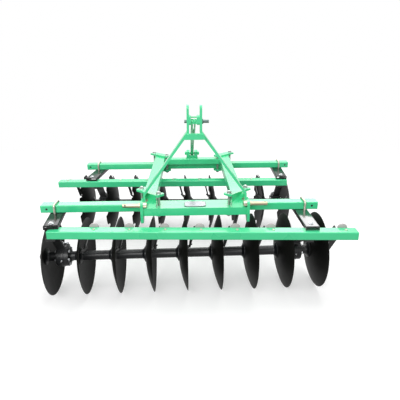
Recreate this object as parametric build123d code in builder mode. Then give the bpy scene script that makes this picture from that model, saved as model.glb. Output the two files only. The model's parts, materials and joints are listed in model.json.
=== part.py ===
from math import cos, radians, sin, tan
import os

from build123d import *

# Disc harrow with two gangs, on a three-point hitch. Millimetres, +X to the right as seen by the
# tractor driver looking back, +Y rearward, +Z up, ground at z = 0.

os.makedirs("parts", exist_ok=True)

# ---------------------------------------------------------------- driving dimensions
DISC_RADIUS = 230.0
DISC_THICKNESS = 3.0
DISC_SPACING = 200.0
DISC_COUNT = 9
DISH_DEPTH = 50.0
DISH_FLAT = 55.0
AXLE_SQUARE = 30.0
AXLE_Z = DISC_RADIUS

BEAM_DEPTH = 70.0
BEAM_HEIGHT = 45.0
BEAM_WALL = 4.0
BEAM_CORNER = 5.0
END_HOLE = 13.0
FRAME_LENGTH = 1633.0

GANG_BEAM_Z = 430.0
ARM_Z = GANG_BEAM_Z + BEAM_HEIGHT
ARM_WIDTH = 80.0
ARM_HEIGHT = 25.0
ARM_WALL = 6.0
FRAME_Z = ARM_Z + ARM_HEIGHT
FRAME_TOP = FRAME_Z + BEAM_HEIGHT
CROSS_TOP = FRAME_TOP + BEAM_HEIGHT

FRONT_BEAM = (-10.0, -394.0)
REAR_BEAM = (38.0, 561.0)

HITCH_X = 77.0
HITCH_HALF = 297.0
BOX_DEPTH = 70.0

MEMBERS_X = 71.0
MEMBER_INSET = 39.0
MEMBER_HALF_SPACING = HITCH_HALF - MEMBER_INSET
MEMBER_WIDTH = 79.0
MEMBER_HEIGHT = 58.0
MEMBER_TOP = FRAME_TOP + MEMBER_HEIGHT
MEMBER_REAR_END = 627.0

RUNNING_FIT = 0.05
BOLT_CLEARANCE = 0.4

HALF_DEPTH = BEAM_DEPTH / 2


def save(builder, name):
    """Name a finished node and write it to the parts folder."""
    builder.part.label = name
    export_step(builder.part, f"parts/{name}.step")


def section_plane(x, y, z, yaw):
    """Plane through a gang: local x runs along its axle, local y is up."""
    turn = radians(yaw)
    return Plane(origin=(x, y, z), x_dir=(cos(turn), sin(turn), 0), z_dir=(sin(turn), -cos(turn), 0))


def end_plane(x, y, z, yaw):
    """Plane square to a gang axle: its normal runs along the axle, local y is up."""
    turn = radians(yaw)
    return Plane(origin=(x, y, z), x_dir=(-sin(turn), cos(turn), 0), z_dir=(cos(turn), sin(turn), 0))


# ---------------------------------------------------------------- frame and gang beams
# name, centre x, centre y, underside z, yaw in degrees, length, front holes' inset from the ends
BEAMS = [
    ("front_beam", FRONT_BEAM[0], FRONT_BEAM[1], FRAME_Z, 0.0, FRAME_LENGTH, 35.0),
    ("rear_beam", REAR_BEAM[0], REAR_BEAM[1], FRAME_Z, 0.0, FRAME_LENGTH, 26.0),
    ("front_gang_beam", 108.5, -648.0, GANG_BEAM_Z, -2.5, 1675.0, 0.0),
    ("rear_gang_beam", -77.5, 302.0, GANG_BEAM_Z, -0.75, 1731.0, 0.0),
]

for name, x, y, z, yaw, length, hole_inset in BEAMS:
    with BuildPart() as beam:
        with BuildSketch(end_plane(x, y, z + BEAM_HEIGHT / 2, yaw)):
            RectangleRounded(BEAM_DEPTH, BEAM_HEIGHT, BEAM_CORNER)
            RectangleRounded(BEAM_DEPTH - 2 * BEAM_WALL, BEAM_HEIGHT - 2 * BEAM_WALL,
                             BEAM_CORNER - BEAM_WALL, mode=Mode.SUBTRACT)
        extrude(amount=length / 2, both=True)
        if hole_inset:
            with BuildSketch(section_plane(x, y, z + BEAM_HEIGHT / 2, yaw)):
                with GridLocations(length - 2 * hole_inset, 0, 2, 1):
                    Circle(END_HOLE / 2)
            extrude(amount=HALF_DEPTH, mode=Mode.SUBTRACT)
    save(beam, name)

# ---------------------------------------------------------------- hitch box and side members
BOX_FRONT = FRONT_BEAM[1] - HALF_DEPTH - BOX_DEPTH
CLAMP_BOLT = 16.0
CLAMP_HOLE = CLAMP_BOLT + 2 * BOLT_CLEARANCE
CLAMP_THICKNESS = 12.0
CLAMP_WIDTH = 60.0
CLAMP_INNER = MEMBER_HALF_SPACING - 54.0
CLAMP_OUTER = MEMBER_HALF_SPACING + 53.5

# bolt y in front of the beam, bolt y behind it
FRONT_CLAMP_Y = (FRONT_BEAM[1] - 51.0, FRONT_BEAM[1] + 49.0)
REAR_CLAMP_Y = (REAR_BEAM[1] - 48.0, REAR_BEAM[1] + 47.0)

with BuildPart() as hitch_box:
    with BuildSketch(Plane.YZ.offset(HITCH_X - HITCH_HALF)):
        with Locations((BOX_FRONT + BOX_DEPTH / 2, FRAME_Z + BEAM_HEIGHT / 2)):
            Rectangle(BOX_DEPTH, BEAM_HEIGHT)
            Rectangle(BOX_DEPTH - 2 * BEAM_WALL, BEAM_HEIGHT - 2 * BEAM_WALL, mode=Mode.SUBTRACT)
    extrude(amount=2 * HITCH_HALF)
    with Locations([(MEMBERS_X + side * CLAMP_INNER, FRONT_CLAMP_Y[0], FRAME_TOP) for side in (-1, 1)]):
        Hole(CLAMP_HOLE / 2, depth=BEAM_HEIGHT)
save(hitch_box, "hitch_box")

CROSS_DEPTH = BEAM_DEPTH
CROSS_FRONT = REAR_BEAM[1] - HALF_DEPTH - 0.6 * CROSS_DEPTH
CROSS_HALF = MEMBER_HALF_SPACING - MEMBER_WIDTH / 2

with BuildPart() as rear_cross_tube:
    with BuildSketch(Plane.YZ.offset(MEMBERS_X - CROSS_HALF)):
        with Locations((CROSS_FRONT + CROSS_DEPTH / 2, FRAME_TOP + BEAM_HEIGHT / 2)):
            RectangleRounded(CROSS_DEPTH, BEAM_HEIGHT, BEAM_CORNER)
            RectangleRounded(CROSS_DEPTH - 2 * BEAM_WALL, BEAM_HEIGHT - 2 * BEAM_WALL,
                             BEAM_CORNER - BEAM_WALL, mode=Mode.SUBTRACT)
    extrude(amount=2 * CROSS_HALF)
    with Locations([(MEMBERS_X + side * CLAMP_INNER, REAR_CLAMP_Y[0], CROSS_TOP) for side in (-1, 1)]):
        Hole(CLAMP_HOLE / 2, depth=BEAM_HEIGHT)
save(rear_cross_tube, "rear_cross_tube")

CLAMP_RUN = CLAMP_OUTER - CLAMP_INNER
CLAMP_SLOPE = (FRONT_CLAMP_Y[1] - FRONT_CLAMP_Y[0]) / CLAMP_RUN
CLAMP_EDGE = CLAMP_WIDTH / 2 * (1 + CLAMP_SLOPE**2) ** 0.5


def clamp_front_edge(reach):
    """Front edge of the front clamp plates, at a distance from the members' centre line."""
    return FRONT_CLAMP_Y[0] + CLAMP_SLOPE * (reach - CLAMP_INNER) - CLAMP_EDGE


CAP_INSET = BEAM_WALL / 2
CAP_THICKNESS = 8.0

for name, side in (("side_member_left", -1), ("side_member_right", 1)):
    inner = CROSS_HALF
    outer = CROSS_HALF + MEMBER_WIDTH
    near = inner + CAP_INSET
    far = outer - CAP_INSET
    with BuildPart() as member:
        with BuildSketch(Plane.XZ.offset(-MEMBER_REAR_END)):
            with Locations((MEMBERS_X + side * MEMBER_HALF_SPACING, FRAME_TOP + MEMBER_HEIGHT / 2)):
                RectangleRounded(MEMBER_WIDTH, MEMBER_HEIGHT, BEAM_CORNER)
                RectangleRounded(MEMBER_WIDTH - 2 * BEAM_WALL, MEMBER_HEIGHT - 2 * BEAM_WALL,
                                 BEAM_CORNER - BEAM_WALL, mode=Mode.SUBTRACT)
        extrude(amount=MEMBER_REAR_END - clamp_front_edge(inner))
        with BuildSketch(Plane.XY.offset(FRAME_TOP)):
            with BuildLine():
                Polyline((MEMBERS_X + side * inner, clamp_front_edge(inner)),
                         (MEMBERS_X + side * outer, clamp_front_edge(outer)),
                         (MEMBERS_X + side * outer, clamp_front_edge(inner)), close=True)
            make_face()
        extrude(amount=MEMBER_HEIGHT, mode=Mode.SUBTRACT)
        with BuildSketch(Plane.XY.offset(FRAME_TOP + CAP_INSET)):
            with BuildLine():
                Polyline((MEMBERS_X + side * near, clamp_front_edge(near)),
                         (MEMBERS_X + side * far, clamp_front_edge(far)),
                         (MEMBERS_X + side * far, clamp_front_edge(far) + CAP_THICKNESS),
                         (MEMBERS_X + side * near, clamp_front_edge(near) + CAP_THICKNESS), close=True)
            make_face()
        extrude(amount=MEMBER_HEIGHT - 2 * CAP_INSET)
    save(member, name)

# ---------------------------------------------------------------- clamps and their bolts
HEX_HEIGHT = 10.0
HEX_FLATS = 24.0
CLAMP_ENDS = 22.0
CLAMP_CORNER = 8.0

for name, rows in (("front_clamps", FRONT_CLAMP_Y), ("rear_clamps", REAR_CLAMP_Y)):
    with BuildPart() as clamps:
        for side in (-1, 1):
            inner_bolt = Vector(MEMBERS_X + side * CLAMP_INNER, rows[0])
            outer_bolt = Vector(MEMBERS_X + side * CLAMP_OUTER, rows[1])
            run = outer_bolt - inner_bolt
            for level in (FRAME_Z - CLAMP_THICKNESS, MEMBER_TOP):
                middle = (inner_bolt + outer_bolt) / 2 + Vector(0, 0, level)
                with BuildSketch(Plane(origin=middle, x_dir=run, z_dir=(0, 0, 1))) as outline:
                    Rectangle(run.length + 2 * CLAMP_ENDS, CLAMP_WIDTH)
                    chamfer(outline.vertices(), CLAMP_CORNER)
                    with GridLocations(run.length, 0, 2, 1):
                        Circle(CLAMP_HOLE / 2, mode=Mode.SUBTRACT)
                extrude(amount=CLAMP_THICKNESS)
    save(clamps, name)

CLAMP_TOP = MEMBER_TOP + CLAMP_THICKNESS
CLAMP_BOTTOM = FRAME_Z - CLAMP_THICKNESS

with BuildPart() as clamp_bolts:
    for rows in (FRONT_CLAMP_Y, REAR_CLAMP_Y):
        for side in (-1, 1):
            spots = [(MEMBERS_X + side * CLAMP_INNER, rows[0]), (MEMBERS_X + side * CLAMP_OUTER, rows[1])]
            with BuildSketch(Plane.XY.offset(CLAMP_BOTTOM - HEX_HEIGHT)):
                with Locations(*spots):
                    RegularPolygon(HEX_FLATS / 2, 6, major_radius=False)
            extrude(amount=HEX_HEIGHT)
            with BuildSketch(Plane.XY.offset(CLAMP_BOTTOM)):
                with Locations(*spots):
                    Circle(CLAMP_BOLT / 2)
            extrude(amount=CLAMP_TOP - CLAMP_BOTTOM)
            with BuildSketch(Plane.XY.offset(CLAMP_TOP)):
                with Locations(*spots):
                    RegularPolygon(HEX_FLATS / 2, 6, major_radius=False)
            extrude(amount=HEX_HEIGHT)
save(clamp_bolts, "clamp_bolts")

# ---------------------------------------------------------------- ears and lower hitch pins
EAR_THICKNESS = 16.0
EAR_BOTTOM = FRAME_Z - 44.0
EAR_TOP = FRAME_TOP + 35.0
EAR_FRONT = BOX_FRONT - 9.0
EAR_BACK = FRONT_BEAM[1] - 12.0
EAR_TOP_ROUND = 14.0
EAR_FOOT_ROUND = 8.0
PIN_RADIUS = 11.0
PIN_STUD_RADIUS = 10.0
PIN_CLEARANCE = 0.2
PIN_Y = BOX_FRONT + 11.0
PIN_COLLAR = 8.0
PIN_COLLAR_RADIUS = 14.0
PIN_REACH = 94.0
PIN_CHAMFER = 2.0
PIN_NUT = 20.0
PIN_NUT_FLATS = 28.0
LINCH_HOLE = 9.0
LINCH_INSET = 12.0

# side of the hitch, its name, height of the pin: the right-hand pin sits a little higher
EARS = [
    (-1, "left", FRAME_TOP + 15.0),
    (1, "right", FRAME_TOP + 19.0),
]

for side, name, pin_z in EARS:
    inner_face = HITCH_X + side * HITCH_HALF
    with BuildPart() as ear:
        with BuildSketch(Plane.YZ.offset(inner_face)):
            with BuildLine():
                Polyline((EAR_FRONT, EAR_BOTTOM), (EAR_FRONT + 32.0, EAR_BOTTOM),
                         (FRONT_BEAM[1] - HALF_DEPTH, FRAME_Z), (FRONT_BEAM[1] - HALF_DEPTH, FRAME_TOP),
                         (EAR_BACK, FRAME_TOP), (EAR_BACK, EAR_TOP), (EAR_FRONT, EAR_TOP), close=True)
            make_face()
            with Locations((PIN_Y, pin_z)):
                Circle(PIN_STUD_RADIUS + PIN_CLEARANCE, mode=Mode.SUBTRACT)
        extrude(amount=side * EAR_THICKNESS)
        fillet(ear.edges().filter_by(Axis.X).group_by(Axis.Z)[-1], EAR_TOP_ROUND)
        fillet(ear.edges().filter_by(Axis.X).group_by(Axis.Z)[0], EAR_FOOT_ROUND)
    save(ear, f"ear_{name}")

    shoulder = inner_face + side * (EAR_THICKNESS + PIN_COLLAR)
    with BuildPart() as pin:
        with BuildSketch(Plane.YZ.offset(inner_face)):
            with Locations((PIN_Y, pin_z)):
                Circle(PIN_STUD_RADIUS)
        extrude(amount=side * EAR_THICKNESS)
        with BuildSketch(Plane.YZ.offset(shoulder - side * PIN_COLLAR)):
            with Locations((PIN_Y, pin_z)):
                Circle(PIN_COLLAR_RADIUS)
        extrude(amount=side * PIN_COLLAR)
        with BuildSketch(Plane.YZ.offset(shoulder)):
            with Locations((PIN_Y, pin_z)):
                Circle(PIN_RADIUS)
        extrude(amount=side * PIN_REACH)
        tip = pin.faces().sort_by(Axis.X)[0 if side < 0 else -1]
        chamfer(tip.edges(), PIN_CHAMFER)
        with BuildSketch(Plane.YZ.offset(inner_face)):
            with Locations((PIN_Y, pin_z)):
                RegularPolygon(PIN_NUT_FLATS / 2, 6, major_radius=False)
        extrude(amount=-side * PIN_NUT)
        with Locations((shoulder + side * (PIN_REACH - LINCH_INSET), PIN_Y, pin_z + PIN_RADIUS)):
            Hole(LINCH_HOLE / 2, depth=2 * PIN_RADIUS)
    save(pin, f"lower_pin_{name}")

# ---------------------------------------------------------------- mast
LEG_THICKNESS = 12.0
LEG_DEPTH = 54.0
MAST_Y = FRONT_BEAM[1] - 50.0
MAST_KNEE_Z = MEMBER_TOP + 16.0
TOP_LINK_Z = 1098.0
TOP_LINK_RADIUS = 9.75
MAST_TOP_Z = TOP_LINK_Z + 19.0
TOP_PIN_Z = TOP_LINK_Z - 70.0
MAST_BEND_Z = TOP_LINK_Z - 122.0
PRONG_HALF = 35.5
PRONG_THICKNESS = 13.0
PRONG_ROUND = 20.0
TOP_PIN_RADIUS = 9.0
TOP_PIN_HOLE = TOP_PIN_RADIUS + PIN_CLEARANCE

for name, side in (("mast_leg_left", -1), ("mast_leg_right", 1)):
    outer_foot = HITCH_X + side * HITCH_HALF
    inner_foot = outer_foot - side * LEG_THICKNESS
    outer_prong = HITCH_X + side * (PRONG_HALF + PRONG_THICKNESS / 2)
    inner_prong = HITCH_X + side * (PRONG_HALF - PRONG_THICKNESS / 2)
    with BuildPart() as leg:
        with BuildSketch(Plane.XZ.offset(-MAST_Y)):
            with BuildLine():
                Polyline((outer_foot, FRAME_TOP), (outer_foot, MAST_KNEE_Z), (outer_prong, MAST_BEND_Z),
                         (outer_prong, MAST_TOP_Z), (inner_prong, MAST_TOP_Z),
                         (inner_prong, MAST_BEND_Z - 8.0), (inner_foot, CLAMP_TOP),
                         (inner_foot, FRAME_TOP), close=True)
            make_face()
        extrude(amount=LEG_DEPTH / 2, both=True)
        fillet(leg.edges().filter_by(Axis.X).group_by(Axis.Z)[-1], PRONG_ROUND)
        for height, radius in ((TOP_LINK_Z, TOP_LINK_RADIUS), (TOP_PIN_Z, TOP_PIN_HOLE)):
            with BuildSketch(Plane.YZ.offset(HITCH_X)):
                with Locations((MAST_Y, height)):
                    Circle(radius)
            extrude(amount=side * (PRONG_HALF + PRONG_THICKNESS), mode=Mode.SUBTRACT)
    save(leg, name)

PLATE_THICKNESS = 12.0
PLATE_BOTTOM_HALF = 64.0
PLATE_TOP_HALF = 50.0
PLATE_TOP = MAST_BEND_Z - 12.0
PLATE_HEIGHT = 30.0

with BuildPart() as mast_cross_plate:
    with BuildSketch(Plane.XZ.offset(-(MAST_Y - LEG_DEPTH / 2))):
        with BuildLine():
            Polyline((HITCH_X - PLATE_BOTTOM_HALF, PLATE_TOP - PLATE_HEIGHT),
                     (HITCH_X + PLATE_BOTTOM_HALF, PLATE_TOP - PLATE_HEIGHT),
                     (HITCH_X + PLATE_TOP_HALF, PLATE_TOP), (HITCH_X - PLATE_TOP_HALF, PLATE_TOP), close=True)
        make_face()
    extrude(amount=PLATE_THICKNESS)
save(mast_cross_plate, "mast_cross_plate")

# ---------------------------------------------------------------- lugs, top pin and brace
LUG_TOP = TOP_PIN_Z + 34.0
LUG_BOTTOM = TOP_PIN_Z - 17.0
LUG_ROUND = 12.0
BRACE_HEAD = (58.0, 90.0)
BRACE_HEAD_SIZE = 25.0
LUG_BOLT_Z = TOP_PIN_Z + 23.0
LUG_BOLT_RADIUS = 4.0
PRONG_INNER = PRONG_HALF - PRONG_THICKNESS / 2

# from x, to x: lugs welded inside the prongs, with the brace's head between them
LUGS = [
    (HITCH_X - PRONG_INNER, BRACE_HEAD[0]),
    (BRACE_HEAD[1], HITCH_X + PRONG_INNER),
]

with BuildPart() as mast_lugs:
    for start, stop in LUGS:
        with BuildSketch(Plane.YZ.offset(start)):
            with Locations((MAST_Y, (LUG_TOP + LUG_BOTTOM) / 2)):
                RectangleRounded(LEG_DEPTH, LUG_TOP - LUG_BOTTOM, LUG_ROUND)
            with Locations((MAST_Y, TOP_PIN_Z)):
                Circle(TOP_PIN_HOLE, mode=Mode.SUBTRACT)
        extrude(amount=stop - start)
    with BuildSketch(Plane.YZ.offset(BRACE_HEAD[0])):
        with Locations((MAST_Y, LUG_BOLT_Z)):
            Circle(LUG_BOLT_RADIUS)
    extrude(amount=BRACE_HEAD[1] - BRACE_HEAD[0])
save(mast_lugs, "mast_lugs")

PRONG_OUTER = PRONG_HALF + PRONG_THICKNESS / 2

# from x, to x, radius: the pin itself and the collar that stops it on the right
TOP_PIN_STEPS = [
    (HITCH_X - PRONG_OUTER - 13.0, HITCH_X + PRONG_OUTER + 37.0, TOP_PIN_RADIUS),
    (HITCH_X + PRONG_OUTER, HITCH_X + PRONG_OUTER + 6.0, TOP_PIN_RADIUS + 5.0),
]

with BuildPart() as top_pin:
    for start, stop, radius in TOP_PIN_STEPS:
        with BuildSketch(Plane.YZ.offset(start)):
            with Locations((MAST_Y, TOP_PIN_Z)):
                Circle(radius)
        extrude(amount=stop - start)
save(top_pin, "top_pin")

BRACE_DEPTH = 29.0
BRACKET_X = 69.0
BRACKET_Y = CROSS_FRONT + 33.0
BRACKET_BASE = 8.0
BRACKET_PIN_Z = CROSS_TOP + 42.0
BRACKET_LUG = 26.0
BRACKET_GAP = 36.0
BRACKET_LUG_WIDTH = 46.0
BRACKET_TOP = BRACKET_PIN_Z + 26.0
BRACKET_BOLT = 8.0
BRACKET_NUT = 14.0
BRACE_FOOT = (57.0, 80.0)

# from x, to x, and the stretch of the brace it covers: 0 at the top pin, 1 at the bracket
BRACE_BARS = [
    (58.0, 70.0, 0.0, 0.28),
    (76.0, 84.0, 0.0, 0.28),
    (BRACE_FOOT[0], BRACE_FOOT[1], 0.22, 1.0),
]

brace_top = Vector(MAST_Y, TOP_PIN_Z)
brace_run = Vector(BRACKET_Y, BRACKET_PIN_Z) - brace_top

with BuildPart() as mast_brace:
    for start, stop, upper, lower in BRACE_BARS:
        with BuildSketch(Plane.YZ.offset(start)):
            middle = brace_top + brace_run * (upper + lower) / 2
            SlotCenterPoint(middle, brace_top + brace_run * lower, BRACE_DEPTH)
        extrude(amount=stop - start)
    with BuildSketch(Plane.YZ.offset(BRACE_HEAD[0])):
        with Locations((MAST_Y, TOP_PIN_Z)):
            Rectangle(BRACE_HEAD_SIZE, BRACE_HEAD_SIZE)
    extrude(amount=BRACE_HEAD[1] - BRACE_HEAD[0])
    with BuildSketch(Plane.YZ):
        with Locations(brace_top):
            Circle(TOP_PIN_HOLE)
        with Locations(brace_top + brace_run):
            Circle(BRACKET_BOLT + PIN_CLEARANCE)
    extrude(amount=BRACE_HEAD[1], mode=Mode.SUBTRACT)
save(mast_brace, "mast_brace")

with BuildPart() as brace_bracket:
    with BuildSketch(Plane.XY.offset(CROSS_TOP)):
        with Locations((BRACKET_X, BRACKET_Y)):
            Rectangle(BRACKET_GAP + 2 * BRACKET_LUG + 4.0, BRACKET_LUG_WIDTH)
    extrude(amount=BRACKET_BASE)
    for side in (-1, 1):
        with BuildSketch(Plane.YZ.offset(BRACKET_X + side * BRACKET_GAP / 2)) as cheek:
            with Locations((BRACKET_Y, (CROSS_TOP + BRACKET_TOP) / 2)):
                Rectangle(BRACKET_LUG_WIDTH, BRACKET_TOP - CROSS_TOP)
            chamfer(cheek.vertices().group_by(Axis.Z)[-1], 12.0)
        extrude(amount=side * BRACKET_LUG)
        with BuildSketch(Plane.YZ.offset(BRACKET_X + side * (BRACKET_GAP / 2 + BRACKET_LUG))):
            with Locations((BRACKET_Y, BRACKET_PIN_Z)):
                RegularPolygon(BRACKET_NUT, 6)
        extrude(amount=side * BRACKET_NUT)
    with BuildSketch(Plane.YZ.offset(BRACKET_X - BRACKET_GAP / 2)):
        with Locations((BRACKET_Y, BRACKET_PIN_Z)):
            Circle(BRACKET_BOLT)
    extrude(amount=BRACKET_GAP)
save(brace_bracket, "brace_bracket")

# ---------------------------------------------------------------- carrying arms and U-bolts
ROD = 14.0
ROD_HOLE = ROD + 2 * BOLT_CLEARANCE
ROD_OFFSET = HALF_DEPTH + ROD / 2 + 1.0
ARM_OVERHANG = 36.0

# name, frame beam, side, U-bolt inset from the beam's end, arm's middle inward of the U-bolt,
# its front end further inward, and front end ahead of the beam's middle
ARM_PLACES = [
    ("arm_front_left", FRONT_BEAM, -1, 83.0, 14.0, 23.0, 226.0),
    ("arm_front_right", FRONT_BEAM, 1, 80.0, 19.0, 4.0, 306.0),
    ("arm_rear_left", REAR_BEAM, -1, 92.0, 15.0, -26.0, 269.0),
    ("arm_rear_right", REAR_BEAM, 1, 79.0, 11.0, 15.0, 277.0),
]

# name, front end x, front end y, x at the frame beam, frame beam y, U-bolt x
ARMS = []
for name, frame_beam, side, inset, inward, further, ahead in ARM_PLACES:
    rod_x = frame_beam[0] + side * (FRAME_LENGTH / 2 - inset)
    beam_x = rod_x - side * inward
    ARMS.append((name, beam_x - side * further, frame_beam[1] - ahead, beam_x, frame_beam[1], rod_x))

for name, x, y, beam_x, beam_y, rod_x in ARMS:
    start = Vector(x, y, ARM_Z)
    along = (Vector(beam_x, beam_y, ARM_Z) - start).normalized()
    reach = (beam_y + HALF_DEPTH + ARM_OVERHANG - y) / along.Y
    with BuildPart() as arm:
        with BuildSketch(Plane(origin=start, x_dir=(along.Y, -along.X, 0), z_dir=along)):
            with Locations((0, -ARM_HEIGHT / 2)):
                RectangleRounded(ARM_WIDTH, ARM_HEIGHT, 4.0)
            with Locations((0, -(ARM_HEIGHT - ARM_WALL) / 2)):
                Rectangle(ARM_WIDTH - 2 * ARM_WALL, ARM_HEIGHT - ARM_WALL, mode=Mode.SUBTRACT)
        extrude(amount=reach)
        with Locations([(rod_x, beam_y + row * ROD_OFFSET, FRAME_Z) for row in (-1, 1)]):
            Hole(ROD_HOLE / 2, depth=ARM_HEIGHT)
    save(arm, name)

ROD_NUT = 11.0
ROD_NUT_FLATS = 22.0
ROD_END = ARM_Z - 10.0

with BuildPart() as u_bolts:
    for _, _, _, _, beam_y, rod_x in ARMS:
        with BuildLine(Plane.YZ.offset(rod_x)) as route:
            Polyline((beam_y - ROD_OFFSET, ROD_END), (beam_y - ROD_OFFSET, FRAME_TOP + ROD / 2),
                     (beam_y + ROD_OFFSET, FRAME_TOP + ROD / 2), (beam_y + ROD_OFFSET, ROD_END))
        with BuildSketch(Plane(origin=(rod_x, beam_y - ROD_OFFSET, ROD_END), z_dir=(0, 0, 1))):
            Circle(ROD / 2)
        sweep(path=route.wire(), transition=Transition.RIGHT)
        with BuildSketch(Plane.XY.offset(ARM_Z + ARM_HEIGHT - ARM_WALL)):
            with Locations([(rod_x, beam_y + row * ROD_OFFSET) for row in (-1, 1)]):
                RegularPolygon(ROD_NUT_FLATS / 2, 6, major_radius=False)
        extrude(amount=-ROD_NUT)
save(u_bolts, "u_bolts")

# ---------------------------------------------------------------- gangs
WASHER_RADIUS = 45.0
WASHER = 8.0
NUT_FLATS = 46.0
NUT = 20.0
STUD = 5.0
SPOOL_RADIUS = 28.5
FLANGE_RADIUS = 49.0
FLANGE = 14.0
HOUSING_RADIUS = 60.0
HOUSING_WIDTH = 64.0
HOUSING_OFFSET = 58.0
HOUSING_TOP = AXLE_Z + 62.0
JOURNAL_RADIUS = 25.0
SHOULDER_GAP = 1.0
NOTCHES = 10
NOTCH_RADIUS = 27.0
NOTCH_SIDES = 8
HANGER_THICKNESS = 14.0

# name, centre x, centre y, yaw, side that the hollow faces, discs beside a bearing, notches
GANGS = [
    ("front", 27.0, -433.0, 1.5, 1, (0, 7), 0),
    ("rear", 4.5, 470.0, -1.5, -1, (1, 8), NOTCHES),
]

DISH_RISE = DISH_DEPTH - DISC_THICKNESS
DISH_SUM = (DISC_RADIUS**2 - DISH_FLAT**2) / DISH_RISE
DISH_TO_FLAT = (DISH_SUM + DISH_RISE) / 2
DISH_SPHERE = (DISH_TO_FLAT**2 + DISH_FLAT**2) ** 0.5


def dish_lift(radius):
    """Height of the dish above its flat centre at a radius."""
    return DISH_TO_FLAT - (DISH_SPHERE**2 - radius**2) ** 0.5


def rim_place(index):
    """Place of a disc's rim along the axle."""
    return (index - (DISC_COUNT - 1) / 2) * DISC_SPACING


def gap_ends(index, hollow):
    """Ends along the axle of the gap between a disc and the next one."""
    start = rim_place(index) - hollow * DISH_DEPTH + (DISC_THICKNESS if hollow > 0 else 0)
    return start, start + DISC_SPACING - DISC_THICKNESS


HALF_GANG = rim_place(DISC_COUNT - 1)
MID_RADIUS = (DISH_FLAT + DISC_RADIUS) / 2

for name, x, y, yaw, hollow, carried, notches in GANGS:
    side_view = section_plane(x, y, AXLE_Z, yaw)
    axle_line = Axis(side_view.origin, side_view.x_dir)

    with BuildPart() as discs:
        for index in range(DISC_COUNT):
            back = rim_place(index) - hollow * DISH_DEPTH
            front = back + hollow * DISC_THICKNESS
            mid_lift = hollow * dish_lift(MID_RADIUS)
            rim_lift = hollow * DISH_RISE
            with BuildSketch(side_view):
                with BuildLine():
                    Polyline((back, 0), (back, DISH_FLAT), (back + mid_lift, MID_RADIUS),
                             (back + rim_lift, DISC_RADIUS), (front + rim_lift, DISC_RADIUS),
                             (front + mid_lift, MID_RADIUS), (front, DISH_FLAT), (front, 0), close=True)
                make_face()
            revolve(axis=axle_line)
        with BuildSketch(end_plane(x, y, AXLE_Z, yaw)):
            Rectangle(AXLE_SQUARE, AXLE_SQUARE)
            if notches:
                with PolarLocations(DISC_RADIUS + 2.0, notches, start_angle=90 + 180 / notches):
                    RegularPolygon(NOTCH_RADIUS, NOTCH_SIDES, rotation=180 / NOTCH_SIDES)
        extrude(amount=HALF_GANG + DISH_DEPTH + 1.0, both=True, mode=Mode.SUBTRACT)
    save(discs, f"{name}_discs")

    ends = [rim_place(0) - hollow * DISH_DEPTH, rim_place(DISC_COUNT - 1) - hollow * DISH_DEPTH]
    outer_ends = [ends[0] + min(0, hollow) * DISC_THICKNESS, ends[1] + max(0, hollow) * DISC_THICKNESS]
    with BuildPart() as axle:
        with BuildSketch(end_plane(x, y, AXLE_Z, yaw).offset(outer_ends[0])):
            Rectangle(AXLE_SQUARE, AXLE_SQUARE)
        extrude(amount=outer_ends[1] - outer_ends[0])
        for place, out in ((outer_ends[0], -1), (outer_ends[1], 1)):
            with BuildSketch(end_plane(x, y, AXLE_Z, yaw).offset(place)):
                Circle(WASHER_RADIUS)
            extrude(amount=out * WASHER)
            with BuildSketch(end_plane(x, y, AXLE_Z, yaw).offset(place + out * WASHER)):
                RegularPolygon(NUT_FLATS / 2, 6, major_radius=False)
            extrude(amount=out * NUT)
            with BuildSketch(end_plane(x, y, AXLE_Z, yaw).offset(place + out * (WASHER + NUT))):
                Circle(AXLE_SQUARE / 2)
            extrude(amount=out * STUD)
    save(axle, f"{name}_axle")

    with BuildPart() as spools:
        for index in range(DISC_COUNT - 1):
            start, stop = gap_ends(index, hollow)
            hollow_disc = index if hollow > 0 else index + 1
            outline = [(start, 0), (start, FLANGE_RADIUS), (start + FLANGE, SPOOL_RADIUS)]
            if hollow_disc in carried:
                middle = rim_place(hollow_disc) + hollow * HOUSING_OFFSET
                half = HOUSING_WIDTH / 2 + SHOULDER_GAP
                outline += [(middle - half, SPOOL_RADIUS), (middle - half, JOURNAL_RADIUS),
                            (middle + half, JOURNAL_RADIUS), (middle + half, SPOOL_RADIUS)]
            outline += [(stop - FLANGE, SPOOL_RADIUS), (stop, FLANGE_RADIUS), (stop, 0)]
            with BuildSketch(side_view):
                with BuildLine():
                    Polyline(*outline, close=True)
                make_face()
            revolve(axis=axle_line)
        with BuildSketch(end_plane(x, y, AXLE_Z, yaw)):
            Rectangle(AXLE_SQUARE, AXLE_SQUARE)
        extrude(amount=HALF_GANG + DISH_DEPTH, both=True, mode=Mode.SUBTRACT)
    save(spools, f"{name}_spools")

# ---------------------------------------------------------------- bearings and hangers
# name, gang, disc beside it
SUPPORTS = [
    ("front_left", "front", 0),
    ("front_right", "front", 7),
    ("rear_left", "rear", 1),
    ("rear_right", "rear", 8),
]
gang_rows = {row[0]: row for row in GANGS}
beam_rows = {row[0]: row for row in BEAMS}
HANGER_WIDTH = 50.0
HANGER_TOP_HALF = 30.0
HANGER_FOOT_HALF = 35.0
HANGER_STEP = 6.0


def beam_y_at(beam_name, x):
    """Middle of a gang beam at a place x."""
    _, beam_x, beam_y, _, yaw, _, _ = beam_rows[beam_name]
    return beam_y + (x - beam_x) * tan(radians(yaw))


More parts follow.
